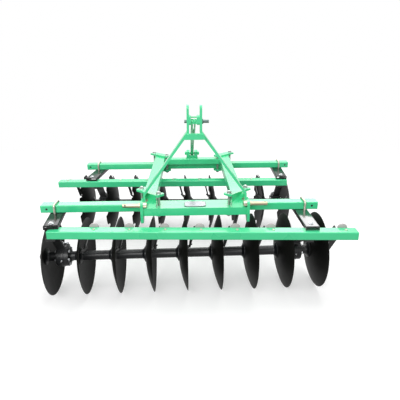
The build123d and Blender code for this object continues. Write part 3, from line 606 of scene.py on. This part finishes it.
@dataclass
class Gang(Assembly):
    """One gang: its discs, the spools between them and the trim of the bearings that carry it."""

    name: str
    hollow: int
    carried: tuple[int, int]
    notches: int = 0
    count: int = 9
    spacing: float = 0.200
    spool_radius: float = 0.0285
    spool_bore: float = 0.018
    journal_radius: float = 0.025
    flange_radius: float = 0.049
    housing_offset: float = 0.058
    housing_width: float = 0.064
    notch_radius: float = 0.027
    notched_band: float = 0.045
    bolt_circle: float = 0.0478
    housing_bolt: Bolt = Bolt(0.013, 0.0075, 0.0085)
    disc: Disc = Disc()

    def __post_init__(self) -> None:
        """Take the gang's place and direction from its joint."""
        joint = next(j for j in frame["joints"] if j["name"] == f"{self.name}_gang_spin")
        along = Vector(joint["axis"]).normalized()
        self.matrix = Matrix((along, UP.cross(along), UP)).transposed().to_4x4()
        self.matrix.translation = Vector(joint["pos_m"])
        self.body = joint["child"]

    def rim(self, index: int) -> float:
        """Place along the axle of a disc's rim."""
        return (index - (self.count - 1) / 2) * self.spacing

    def housing(self, index: int) -> float:
        """Place along the axle of the housing in a disc's hollow."""
        return self.rim(index) + self.hollow * self.housing_offset

    def axial(self, place: float, toward: int = 1) -> Matrix:
        """Matrix at a place along the axle, with local Z along it, or back where toward is -1."""
        return self.matrix @ shift(place, 0, 0) @ Matrix.Rotation(math.pi / 2 * toward, 4, "Y")

    def bite(self, angle: float) -> float:
        """Find how far the notched rim reaches.

        Args:
            angle: Angle round the disc from the first notch.

        Returns:
            The rim's radius there.
        """
        pitch = math.tau / self.notches
        off = (angle + pitch / 2) % pitch - pitch / 2
        centre = self.disc.radius + 0.002
        inside = self.notch_radius**2 - (centre * math.sin(off))**2
        if inside <= 0:
            return self.disc.radius
        return min(self.disc.radius, centre * math.cos(off) - math.sqrt(inside))

    def notch(self, verts: Verts, turn: float) -> None:
        """Draw a disc's rim in at its notches, along its own dish.

        Args:
            verts: The disc's vertices, still in its own place with local Z along the axle.
            turn: Angle of the first notch.
        """
        inner = self.disc.radius - self.notched_band
        for vert in verts:
            radius = math.hypot(vert.co.x, vert.co.y)
            angle = math.atan2(vert.co.y, vert.co.x)
            angle -= 0.75 / self.notches * math.sin(self.notches * (angle - turn))
            new_radius = radius
            if radius > inner:
                share = (radius - inner) / self.notched_band
                new_radius = inner + share * (self.bite(angle - turn) - inner)
            above = vert.co.z - self.disc.lift(radius)
            vert.co = Vector((new_radius * math.cos(angle), new_radius * math.sin(angle),
                              self.disc.lift(new_radius) + above))

    def build_discs(self) -> None:
        """Build the discs and let them stand for the CAD ones."""
        shape = Shape()
        for index in range(self.count):
            verts = shape.lathe(Matrix.Identity(4), self.disc.profile(), 160 if self.notches else 96, closed=True)
            if self.notches:
                self.notch(verts, math.pi / self.notches)
            shape.move(verts, self.axial(self.rim(index) - self.hollow * self.disc.dish, self.hollow))
        self.dress(shape, f"{self.name}_disc_set", "disc_black", "disc_black", self.body, f"{self.name}_discs", 28.0)

    def spool_profile(self, start: float, stop: float, hollow_disc: int) -> list[Pair]:
        """Outline of one spool, from one disc to the next.

        Args:
            start: Where it begins along the axle.
            stop: Where it ends.
            hollow_disc: Number of the disc whose hollow faces it.

        Returns:
            Radius and place along the axle of each point.
        """
        big, small, journal = self.flange_radius, self.spool_radius, self.journal_radius
        flare = [(big - 0.001, 0.0), (big, 0.001), (big, 0.0055), (big - 0.001, 0.0065), (0.040, 0.0095),
                 (0.034, 0.013), (0.030, 0.018), (small, 0.024)]
        points = [(radius, start + x) for radius, x in flare]
        tail = [(radius, stop - x) for radius, x in reversed(flare)]
        if hollow_disc in self.carried:
            half = self.housing_width / 2 + 0.001
            low, high = self.housing(hollow_disc) - half, self.housing(hollow_disc) + half
            points = [point for point in points if point[1] < low - 0.002]
            points += [(small, low - 0.001), (journal, low), (journal, high), (small, high + 0.001)]
            tail = [point for point in tail if point[1] > high + 0.002]
        return [(self.spool_bore, start)] + points + tail + [(self.spool_bore, stop)]

    def build_spools(self) -> None:
        """Build the cast spools with their flared flanges and let them stand for the CAD ones."""
        shape = Shape()
        for index in range(self.count - 1):
            back = self.rim(index) - self.hollow * self.disc.dish
            start = back + (self.disc.thickness if self.hollow > 0 else 0.0)
            stop = start + self.spacing - self.disc.thickness
            hollow_disc = index if self.hollow > 0 else index + 1
            shape.lathe(self.axial(0.0), self.spool_profile(start, stop, hollow_disc), 40)
        self.dress(shape, f"{self.name}_spool_set", "cast_black", "black_paint", self.body, f"{self.name}_spools")

    def build_bearing_trim(self) -> None:
        """Build the flange rings, bolts and grease nipples on the bearing housings."""
        rings, bolts = Shape(), Shape()
        ring = [(0.0375, -0.001), (0.0375, 0.0035), (0.039, 0.005), (0.056, 0.005), (0.0575, 0.0035),
                (0.0575, -0.001)]
        belt = [(0.0595, -0.010), (0.0625, -0.008), (0.0625, 0.008), (0.0595, 0.010)]
        for disc in self.carried:
            place = self.housing(disc)
            for end in (-1, 1):
                face = self.axial(place + end * self.housing_width / 2, end)
                rings.lathe(face, ring, 40, closed=True)
                for step in range(6):
                    turn = Matrix.Rotation(math.tau * (step + 0.5) / 6, 4, "Z")
                    bolts.hex_head(face @ turn @ shift(self.bolt_circle, 0, 0.005), self.housing_bolt)
            rings.lathe(self.axial(place), belt, 40, closed=True)
            nipple = self.matrix @ shift(place, -0.061, 0.0) @ Matrix.Rotation(math.pi / 2, 4, "X")
            bolts.cylinder(nipple, 0.005, 0.006, 6)
            bolts.cylinder(nipple @ shift(0, 0, 0.006), 0.0032, 0.007, 12, 0.001)
        self.dress(rings, f"{self.name}_bearing_rings", "cast_black", "black_paint")
        self.dress(bolts, f"{self.name}_bearing_bolts", "zinc", "zinc")

    def build(self) -> None:
        """Build everything of the gang that is modelled here."""
        self.build_discs()
        self.build_spools()
        self.build_bearing_trim()


@dataclass
class Scrapers(Assembly):
    """The scrapers of one gang, each a holder on the beam with a bent blade in a disc's hollow.

    The last holder may carry an end plate, given by its corners along and above the holder's seat.
    """

    gang: Gang
    yaw: float
    beam_middle: Pair
    first_offset: float
    bolt_shift: float
    change: float = 0.0
    rise: float = 0.0
    end_plate: Outline = ()
    end_faces: Pair = (0.009, 0.015)
    beam_half_depth: float = 0.035
    holder_width: float = 0.052
    holder_thickness: float = 0.010
    holder_foot: float = 0.006
    shank: Pair = (0.010, 0.044)
    blade: Pair = (0.040, 0.006)
    head: Triple = (-0.030, 0.026, 0.020)
    foot: Triple = (0.016, -0.110, 0.335)
    tip: Triple = (-0.012, -0.080, 0.290)
    holder_bolt: Bolt = Bolt(0.017, 0.009, 0.012)
    beam_bolt: Bolt = Bolt(0.014, 0.004)

    def face_y(self, x: float) -> float:
        """Find the beam's rear face.

        Args:
            x: Place across the harrow.

        Returns:
            The face's place from front to back there.
        """
        turn = math.radians(self.yaw)
        return (self.beam_middle[1] + (x - self.beam_middle[0]) * math.tan(turn)
                + self.beam_half_depth / math.cos(turn))

    def build(self) -> None:
        """Build the holders, the bent scrapers and their bolts."""
        holders, blades, bolts, heads = Shape(), Shape(), Shape(), Shape()
        name, hollow = self.gang.name, self.gang.hollow
        low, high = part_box(f"{name}_gang_beam")
        turn = math.radians(self.yaw)
        outward = Vector((-math.sin(turn), math.cos(turn), 0.0))
        bottom = low.z + self.holder_foot
        for index in (i for i in range(self.gang.count) if i not in self.gang.carried):
            rim = self.gang.matrix @ Vector((self.gang.rim(index), 0, 0))
            x = rim.x + hollow * (self.first_offset + self.change * index)
            seat = Vector((x, self.face_y(x), bottom))
            self.add_holder(holders, facing(seat, outward), high.z + self.rise - bottom)
            spot = seat + outward * self.holder_thickness + ALONG_X * (hollow * 0.008) + UP * 0.022
            bolts.hex_head(facing(spot, outward), self.holder_bolt)
            over = Vector((x + self.bolt_shift, seat.y - self.beam_half_depth, high.z))
            heads.hex_head(facing(over, UP), self.beam_bolt)
            start = seat + Vector((hollow * self.head[0], self.head[1], self.head[2]))
            bend, tip = (Vector((rim.x + hollow * x, rim.y + y, z)) for x, y, z in (self.foot, self.tip))
            self.add_blade(blades, start, bend, tip)
            if self.end_plate and index == self.gang.count - 1:
                blades.hull([seat + Vector((x, y, z)) for x, z in self.end_plate for y in self.end_faces])
        self.dress(blades, f"{name}_scraper_blades", "black_paint", "black_paint", stands_for=f"{name}_scrapers")
        # The holders are black paint; their grey finish is a painted reflection of the white surroundings.
        self.dress(holders, f"{name}_scraper_holders", "painted_reflection_gray", "black_paint")
        self.dress(bolts, f"{name}_scraper_bolts", "zinc", "zinc")
        self.dress(heads, f"{name}_beam_bolts", "warm_zinc", "zinc")

    def add_holder(self, shape: Shape, matrix: Matrix, height: float) -> None:
        """Add one holder plate with its round top.

        Args:
            shape: The piece being built.
            matrix: Its seat, with local Z out of the beam and local Y up.
            height: Height of the plate.
        """
        half = self.holder_width / 2
        crown = min(half * 0.8, height * 0.35)
        top = [(half * x, height - crown + crown * y) for x, y in arc(0.0, 0.0, 1.0, 0, 180, 12)]
        shape.prism(matrix, [(-half, 0.0), (half, 0.0)] + top, self.holder_thickness, 0.0012)

    def add_blade(self, shape: Shape, head: Vector, foot: Vector, tip: Vector) -> None:
        """Add a flat bar that runs down from the holder and turns into the hollow.

        Args:
            shape: The piece being built.
            head: Where it starts.
            foot: Where it bends.
            tip: Where it ends.
        """
        down, inward = foot - head, tip - foot
        broad = Vector((down.z, 0.0, -down.x)).normalized()
        shape.block(facing(head, down, broad.cross(down)), (*self.shank, down.length), 0.0015)
        shape.block(facing(foot, inward, UP), (*self.blade, inward.length), 0.0015)


# ------------------------------------------------------------------ the frame
@dataclass
class HitchTrim(Assembly):
    """Small parts of the hitch: the blank plate, the weld beads, the fillers, the nuts and the painted shade in the
    pin holes.
    """

    plate_size: Triple = (0.128, 0.088, 0.004)
    plate_corner: float = 0.020
    rim_width: float = 0.003
    rivet_inset: float = 0.012
    leg_wall: float = 0.012
    leg_nut: Bolt = Bolt(0.024, 0.013, 0.016)
    pin_nut: Bolt = Bolt(0.0296, 0.0212)
    bead: float = 0.0045
    end_slope: float = 0.7
    miter: float = 0.93

    def build_plate(self) -> None:
        """Build the blank plate on top of the hitch box, held by four rivets."""
        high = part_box("hitch_box")[1]
        seat = Vector((middle("hitch_box").x, high.y - 0.008, high.z))
        plate, rivets, rim = Shape(), Shape(), Shape()
        width, depth, thick = self.plate_size
        for shape, inset, height in ((rim, 0.0, thick - 0.001), (plate, self.rim_width, thick)):
            x, y = (size / 2 - inset - self.plate_corner for size in (width, depth))
            outline = []
            for turn, side_x, side_y in ((0, 1, 1), (90, -1, 1), (180, -1, -1), (270, 1, -1)):
                outline += arc(side_x * x, side_y * y, self.plate_corner, turn, turn + 90, 5)
            shape.prism(facing(seat, UP), outline, height, 0.0004, 1)
        x, y = (size / 2 - self.rivet_inset for size in (width, depth))
        for side_x, side_y in ((-1, -1), (-1, 1), (1, -1), (1, 1)):
            spot = seat + Vector((side_x * x, side_y * y, thick - 0.0005))
            rivets.cylinder(facing(spot, UP), 0.0024, 0.0018, 12, 0.0006)
        self.dress(plate, "blank_plate", "plate", "zinc")
        self.dress(rim, "blank_plate_rim", "dark_steel", "zinc")
        self.dress(rivets, "plate_rivets", "zinc", "zinc")

    def build_welds(self) -> None:
        """Build the weld beads at the box, the mast, the cross tube and the brace's bracket."""
        low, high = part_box("hitch_box")
        top = high.z
        runs = [((low.x + 0.01, high.y, low.z), (high.x - 0.01, high.y, low.z))]
        for side, inward in SIDES:
            low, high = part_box(f"mast_leg_{side}")
            left = low.x if inward > 0 else high.x - self.leg_wall
            right = left + self.leg_wall
            inner = right if inward > 0 else left
            runs += [((left, y, top), (right, y, top)) for y in (low.y, high.y)]
            runs.append(((inner, low.y, top), (inner, high.y, top)))
            low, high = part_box("rear_cross_tube")
            joint = low.x if inward > 0 else high.x
            runs += [((joint, low.y, high.z - 0.004), (joint, high.y, high.z - 0.004)),
                     ((joint, low.y, low.z + 0.006), (joint, low.y, high.z - 0.006))]
        low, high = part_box("brace_bracket")
        runs += [((low.x + 0.02, y, low.z), (high.x - 0.02, y, low.z)) for y in (low.y, high.y)]
        shape = Shape()
        for start, stop in runs:
            shape.weld(Vector(start), Vector(stop), self.bead)
        low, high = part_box("mast_cross_plate")
        shape.weld(Vector((low.x + 0.016, high.y, high.z)), Vector((high.x - 0.016, high.y, high.z)), self.bead * 0.8)
        self.dress(shape, "weld_beads", "green_paint", "green_paint")

    def build_fillers(self) -> None:
        """Build the ground-flush seam on the box, the side members' sloped front ends and the bracket's web."""
        shape = Shape()
        low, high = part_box("hitch_box")
        seam = Vector((middle("hitch_box").x, high.y, high.z - 0.006))
        shape.block(facing(seam, UP), (high.x - low.x - 0.002, 0.0116, 0.0062))
        front, top = low.y + 0.002, high.z
        for side, inward in SIDES:
            member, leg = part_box(f"side_member_{side}"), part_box(f"mast_leg_{side}")
            inner = member[inward > 0].x - 0.001 * inward
            outer = leg[inward < 0].x + 0.0125 * inward
            back = member[0].y + 0.001
            behind = back + abs(outer - inner) * self.miter
            corners = [(inner, front, top), (outer, front, top)]
            for x, y in ((inner, back), (outer, behind)):
                corners += [(x, y, top), (x, y, top + (y - front) * self.end_slope)]
            shape.hull([Vector(corner) for corner in corners])
        low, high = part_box("brace_bracket")
        web = middle("brace_bracket")
        web.z = low.z + 0.002
        shape.block(facing(web, UP), (0.040, high.y - low.y - 0.012, 0.025), 0.001)
        self.dress(shape, "frame_fillers", "green_paint", "green_paint")

    def build_leg_nuts(self) -> None:
        """Build the nut on each mast leg's inner face and the one that holds the lower pin beside it."""
        shape = Shape()
        for side, inward in SIDES:
            low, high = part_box(f"mast_leg_{side}")
            outer = low.x if inward > 0 else high.x
            spot = Vector((outer + self.leg_wall * inward, (low.y + high.y) / 2, low.z + 0.027))
            shape.hex_head(facing(spot, ALONG_X * inward), self.leg_nut)
            seat = middle(f"lower_pin_{side}")
            seat.x = outer
            shape.hex_head(facing(seat, ALONG_X * inward), self.pin_nut)
        self.dress(shape, "mast_leg_nuts", "warm_zinc", "zinc")

    def build_pin_holes(self) -> None:
        """Build black discs at the mouths of the cross holes near the free ends of the lower pins, as painted shade.
        """
        shape = Shape()
        for (side, inward), lean in zip(SIDES, (0.45, -2.76)):
            name = f"lower_pin_{side}"
            hole = middle(name)
            hole.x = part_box(name)[inward < 0].x + inward * 0.016
            direction = Vector((0.0, -1.0, lean)).normalized()
            for toward in (-1, 1):
                # Painted shade: each black disc stands for the dark inside of a cross hole, one at each mouth.
                shape.cylinder(facing(hole + direction * (0.0102 * toward), direction * toward), 0.0055, 0.0009, 16)
        self.dress(shape, "pin_hole_painted_shade", "black_paint", "zinc")

    def build(self) -> None:
        """Build the hitch's trim."""
        self.build_plate()
        self.build_welds()
        self.build_fillers()
        self.build_leg_nuts()
        self.build_pin_holes()


@dataclass(frozen=True)
class Arm:
    """One carrying arm: where its front end and its place under the frame beam lie, and how wide it is."""

    name: str
    front: Pair
    under_beam: Pair
    width: float
    bolt_y: float
    finish: str = "arm_black"


@dataclass
class ArmSet(Assembly):
    """The four folded channels that join the frame beams to the gang beams."""

    arms: tuple[Arm, ...]
    wall: float = 0.006
    fold: float = 0.007
    rear_reach: float = 0.071
    bolt: Bolt = Bolt(0.019, 0.009, 0.014)

    def outline(self, width: float, height: float) -> list[Pair]:
        """Outline of the folded channel, open downwards.

        Args:
            width: Outer width.
            height: Outer height.

        Returns:
            Its corner places, from the left foot over the top to the right foot and back inside.
        """
        half, centre, level = width / 2, width / 2 - self.fold, height - self.fold
        points = [(-half, 0.0)]
        for x, start in ((-centre, 180), (centre, 90)):
            points += arc(x, level, self.fold, start, start - 90, 5)
        points += [(half, 0.0), (half - self.wall, 0.0)]
        for x, start in ((centre, 0), (-centre, 90)):
            points += arc(x, level, self.fold - self.wall, start, start + 90, 2)
        return points + [(-half + self.wall, 0.0)]

    def build(self) -> None:
        """Build the channels and the bolts that hold them to the gang beams."""
        bolts = Shape()
        for arm in self.arms:
            low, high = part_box(f"arm_{arm.name}")
            height = high.z - low.z
            start = Vector((*arm.front, low.z))
            along = (Vector((*arm.under_beam, low.z)) - start).normalized()
            length = (arm.under_beam[1] + self.rear_reach - arm.front[1]) / along.y
            shape = Shape()
            shape.prism(facing(start, along), self.outline(arm.width, height), length)
            shape.block(facing(start + along * 0.002, along), (arm.width - 2 * self.wall, height - self.wall, 0.004))
            self.dress(shape, f"arm_{arm.name}_channel", arm.finish, "black_paint", stands_for=f"arm_{arm.name}")
            spot = start + along * ((arm.bolt_y - arm.front[1]) / along.y)
            spot.z = high.z
            bolts.hex_head(facing(spot, UP), self.bolt)
        self.dress(bolts, "arm_bolts", "zinc", "zinc")


@dataclass
class BeamBolts(Assembly):
    """The frame beams' end plates and U-bolts, and the bolts that hold the clamps and hangers."""

    rod: float = 0.007
    rod_offset: float = 0.043
    rod_bend: float = 0.0125
    rod_insets: tuple[float, ...] = (0.083, 0.080, 0.092, 0.079)
    rod_nut: Bolt = Bolt(0.022, 0.012, 0.014)
    hanger_bolt: Bolt = Bolt(0.019, 0.010, 0.013)
    washer: Pair = (0.0165, 0.0025)
    thread: Pair = (0.0075, 0.0055)
    nut_height: float = 0.010
    cap: Triple = (0.0625, 0.0375, 0.004)

    def build_u_bolts(self) -> None:
        """Build the four bent rods with their nuts and let them stand for the CAD ones."""
        shape = Shape()
        for corner, inset in zip(CORNERS, self.rod_insets):
            end, side = corner.split("_")
            beam_low, beam_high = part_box(f"{end}_beam")
            arm_low, arm_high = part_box(f"arm_{corner}")
            x = beam_low.x + inset if side == "left" else beam_high.x - inset
            y = (beam_low.y + beam_high.y) / 2
            foot, head = arm_low.z - 0.010, beam_high.z + self.rod
            front, back = y - self.rod_offset, y + self.rod_offset
            path = [Vector(spot) for spot in ((x, front, foot), (x, front, head), (x, back, head), (x, back, foot))]
            shape.rod(self.rod, path, self.rod_bend)
            for rod_y in (front, back):
                shape.hex_head(facing(Vector((x, rod_y, arm_high.z - 0.006)), -UP), self.rod_nut)
        self.dress(shape, "u_bolt_rods", "warm_zinc", "zinc", stands_for="u_bolts")

    def build_clamp_washers(self) -> None:
        """Build the washers and the thread ends of the clamp bolts, above and below."""
        shape = Shape()
        for clamps, half in (("front_clamps", 0.050), ("rear_clamps", 0.0475)):
            low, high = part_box(clamps)
            centre = middle(clamps)
            for side in (-1, 1):
                for reach, back in ((0.204, -1), (0.3115, 1)):
                    for level, out in ((high.z, UP), (low.z, -UP)):
                        spot = Vector((centre.x + side * reach, centre.y + back * half, level))
                        shape.cylinder(facing(spot, out), *self.washer, 28, 0.0005)
                        shape.cylinder(facing(spot + out * self.nut_height, out), *self.thread, 18, 0.0012)
        self.dress(shape, "clamp_washers", "zinc", "zinc")

    def build_hanger_bolts(self) -> None:
        """Build the bolts that hold the hangers to the bearing housings."""
        shape = Shape()
        for corner in CORNERS:
            x, y = middle(f"hanger_{corner}").x, middle(f"bearing_{corner}").y
            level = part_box(f"hanger_{corner}")[0].z
            for side in (-1, 1):
                spot = Vector((x + side * 0.014, y + 0.016, level + 0.014))
                shape.hex_head(facing(spot, UP), self.hanger_bolt)
        self.dress(shape, "hanger_bolts", "zinc", "zinc")

    def build_beam_caps(self) -> None:
        """Build the plates that close the ends of the two frame beams, and black discs inside the holes beside them
        as painted shade.
        """
        shape, painted_hole_shade = Shape(), Shape()
        for beam, inset in (("front_beam", 0.035), ("rear_beam", 0.026)):
            low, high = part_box(beam)
            centre = middle(beam)
            for end, inward in ((low.x, 1), (high.x, -1)):
                seat = Vector((end + 0.0015 * inward, centre.y, centre.z))
                shape.block(facing(seat, ALONG_X * inward), self.cap, 0.001)
                # Painted shade: a black disc just inside each end hole stands for the dark inside of the beam.
                hole = Vector((end + inset * inward, low.y + 0.0035, centre.z))
                painted_hole_shade.cylinder(facing(hole, ALONG_Y), 0.0072, 0.0012, 20)
        self.dress(shape, "beam_caps", "green_paint", "green_paint")
        self.dress(painted_hole_shade, "beam_hole_painted_shade", "black_paint", "black_paint")

    def build(self) -> None:
        """Build the beams' caps and bolts."""
        self.build_beam_caps()
        self.build_u_bolts()
        self.build_clamp_washers()
        self.build_hanger_bolts()


# ------------------------------------------------------------------ paint, stage and camera
NODE_FINISH = {f"bearing_{corner}": "cast_black" for corner in CORNERS}
NODE_FINISH |= {"front_axle": "cast_black", "rear_axle": "cast_black", "top_pin": "dark_steel",
                "clamp_bolts": "dull_zinc"}


def dress_nodes(finishes: dict[str, bpy.types.Material]) -> None:
    """Give every CAD node the finish of its slot, or its own where the slot has several.

    Args:
        finishes: The built materials by finish name.
    """
    slots = {part["node"]: part["material_slot"] for part in frame["record"]["subparts"]}
    for name, node in frame["nodes"].items():
        node.data.materials.clear()
        node.data.materials.append(finishes[NODE_FINISH.get(name, slots[name])])
    log.info("dressed %d CAD nodes", len(frame["nodes"]))


@dataclass(frozen=True)
class SoftBox:
    """A rectangular lamp: where it hangs, what it aims at, its width, height and power."""

    name: str
    place: Triple
    aim: Triple
    width: float
    height: float
    power: float

    def build(self) -> None:
        """Build the lamp, out of the camera's sight."""
        lamp = bpy.data.lights.new(self.name, "AREA")
        lamp.shape = "RECTANGLE"
        lamp.size, lamp.size_y, lamp.energy = self.width, self.height, self.power
        holder = bpy.data.objects.new(self.name, lamp)
        holder.matrix_world = facing(Vector(self.place), Vector(self.place) - Vector(self.aim))
        holder.visible_camera = False
        bpy.context.scene.collection.objects.link(holder)


@dataclass
class Studio:
    """Floor, soft boxes, sky and camera."""

    camera_place: Triple = (0.0462, -2.6339, 1.3546)
    camera_yaw: float = 1.56
    camera_pitch: float = 19.62
    camera_roll: float = -0.26
    lens: float = 35.96
    floor_color: Color = (0.66, 0.66, 0.66)
    floor_bounce: Color = (0.22, 0.22, 0.22)
    floor_glow: float = 0.42
    floor_reach: float = 4.6
    sky_level: float = 0.45
    boxes: tuple[SoftBox, ...] = (
        SoftBox("overhead_box", (0.2, 0.2, 4.6), (0.0, 0.0, 0.3), 3.6, 3.6, 125.0),
        SoftBox("front_box", (-1.6, -4.6, 2.9), (0.0, 0.0, 0.5), 3.4, 2.8, 154.0),
        SoftBox("side_box", (4.2, -2.2, 2.4), (0.0, 0.0, 0.4), 2.2, 2.2, 22.0),
        SoftBox("rear_box", (0.0, 5.2, 3.7), (0.0, 0.0, 0.5), 7.0, 2.6, 130.0),
    )

    def build_floor(self) -> None:
        """Build the pale floor, which fades into the white surroundings."""
        mesh = bmesh.new()
        bmesh.ops.create_grid(mesh, x_segments=8, y_segments=8, size=5.0)
        data = bpy.data.meshes.new("studio_floor")
        mesh.to_mesh(data)
        mesh.free()
        material = bpy.data.materials.new("studio_floor")
        material.use_nodes = True
        graph = Graph(material.node_tree)
        seen = graph.node("ShaderNodeLightPath").outputs
        color = graph.mix(seen["Is Camera Ray"], self.floor_bounce, self.floor_color)
        both = graph.math("MAXIMUM", seen["Is Camera Ray"], seen["Is Glossy Ray"])
        place = graph.node("ShaderNodeTexCoord").outputs["Object"]
        reach = graph.node("ShaderNodeVectorMath", {0: place}, operation="LENGTH").outputs["Value"]
        sockets = {"Base Color": color, "Roughness": 0.9, "Specular IOR Level": 0.1,
                   "Emission Color": (1.0, 1.0, 1.0),
                   "Emission Strength": graph.math("MULTIPLY", both, self.floor_glow),
                   "Alpha": graph.ramp(reach, self.floor_reach, self.floor_reach * 0.5)}
        for name, value in sockets.items():
            graph.feed(material.node_tree.nodes["Principled BSDF"].inputs[name], value)
        data.materials.append(material)
        floor = bpy.data.objects.new("studio_floor", data)
        bpy.context.scene.collection.objects.link(floor)

    def build_sky(self) -> None:
        """Build the white surroundings, which light the object plainly."""
        world = bpy.data.worlds.new("studio_sky")
        world.use_nodes = True
        bpy.context.scene.world = world
        graph = Graph(world.node_tree)
        seen = graph.node("ShaderNodeLightPath").outputs
        shown = graph.math("MAXIMUM", seen["Is Camera Ray"], seen["Is Transmission Ray"])
        shown = graph.math("MAXIMUM", shown, seen["Is Glossy Ray"])
        level = graph.math("ADD", self.sky_level, graph.math("MULTIPLY", shown, 1.0 - self.sky_level))
        back = world.node_tree.nodes["Background"].inputs
        graph.feed(back["Color"], (1.0, 1.0, 1.0))
        graph.feed(back["Strength"], level)

    def build_camera(self) -> None:
        """Build the camera at the height of someone standing before the hitch."""
        data = bpy.data.cameras.new("camera")
        data.lens = self.lens
        data.sensor_width = 36.0
        camera = bpy.data.objects.new("camera", data)
        place = Matrix.Translation(self.camera_place)
        for angle, axis in ((-self.camera_yaw, "Z"), (90.0 - self.camera_pitch, "X"), (self.camera_roll, "Z")):
            place = place @ Matrix.Rotation(math.radians(angle), 4, axis)
        camera.matrix_world = place
        bpy.context.scene.collection.objects.link(camera)
        bpy.context.scene.camera = camera

    def build(self) -> None:
        """Build the studio."""
        self.build_floor()
        self.build_sky()
        for box in self.boxes:
            box.build()
        self.build_camera()
        bpy.context.scene.view_settings.view_transform = "Standard"


def main() -> None:
    """Build every sub-assembly in order and dress the frame."""
    logging.basicConfig(level=logging.INFO, format="%(name)s: %(message)s")
    effects = Effects()
    finishes = {name: finish.build(effects) for name, finish in FINISHES.items()}
    dress_nodes(finishes)
    front = Gang("front", 1, (0, 7), finishes=finishes)
    rear = Gang("rear", -1, (1, 8), notches=10, finishes=finishes)
    arms = (
        Arm("front_left", (-0.7130, -0.616), (-0.7385, -0.394), 0.080, -0.592),
        Arm("front_right", (0.7057, -0.681), (0.7095, -0.394), 0.076, -0.640, "gloss_black"),
        Arm("rear_left", (-0.6975, 0.292), (-0.6715, 0.561), 0.080, 0.316),
        Arm("rear_right", (0.7495, 0.284), (0.7645, 0.561), 0.080, 0.312),
    )
    assemblies = (
        front, rear,
        Scrapers(front, -2.5, (0.1085, -0.648), 0.0917, 0.006, change=-0.0047, rise=0.020,
                 end_plate=((-0.066, 0.030), (0.019, 0.030), (-0.058, -0.105)), finishes=finishes),
        Scrapers(rear, -0.75, (-0.0775, 0.302), 0.075, -0.010, finishes=finishes),
        ArmSet(arms, finishes=finishes), HitchTrim(finishes=finishes), BeamBolts(finishes=finishes), Studio(),
    )
    for assembly in assemblies:
        assembly.build()


if __name__ == "__main__":
    main()
